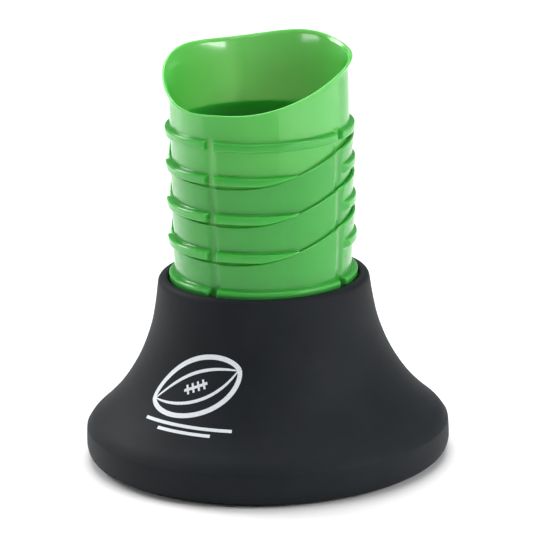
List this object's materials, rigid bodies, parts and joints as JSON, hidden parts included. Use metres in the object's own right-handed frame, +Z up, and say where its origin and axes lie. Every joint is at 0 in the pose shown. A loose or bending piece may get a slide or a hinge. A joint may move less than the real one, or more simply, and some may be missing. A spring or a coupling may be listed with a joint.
{
  "type": "rugby kicking tee",
  "caption": "Height-adjustable kicking tee: bell-shaped rubber base with a column of nested wavy-rimmed cup sleeves that sinks into it.",
  "frame": {"origin": "centre of the underside of the base, on the floor", "axes": "+Z up along the column; -Y towards the low scoop of the rims"},
  "size_m": [0.14, 0.14, 0.1597],
  "materials": {
    "base_rubber": "matte",
    "socket_plastic": "satin",
    "sleeve_green": "gloss"
  },
  "bodies": {
    "base": {"base_shell": "base_rubber", "guide_socket": "socket_plastic"},
    "lower": {"lower_sleeve": "sleeve_green"},
    "middle": {"middle_sleeve": "sleeve_green"},
    "upper": {"upper_sleeve": "sleeve_green"},
    "top": {"top_sleeve": "sleeve_green"}
  },
  "joints": [
    {"name": "column_slide", "type": "slide", "parent": "base", "child": "lower", "axis": [0, 0, 1], "range_m": [-0.0573, 0]},
    {"name": "middle_lift", "type": "slide", "parent": "lower", "child": "middle", "axis": [0, 0, 1], "range_m": [0, 0.032]},
    {"name": "upper_lift", "type": "slide", "parent": "middle", "child": "upper", "axis": [0, 0, 1], "range_m": [0, 0.032]},
    {"name": "top_lift", "type": "slide", "parent": "upper", "child": "top", "axis": [0, 0, 1], "range_m": [0, 0.032]}
  ]
}
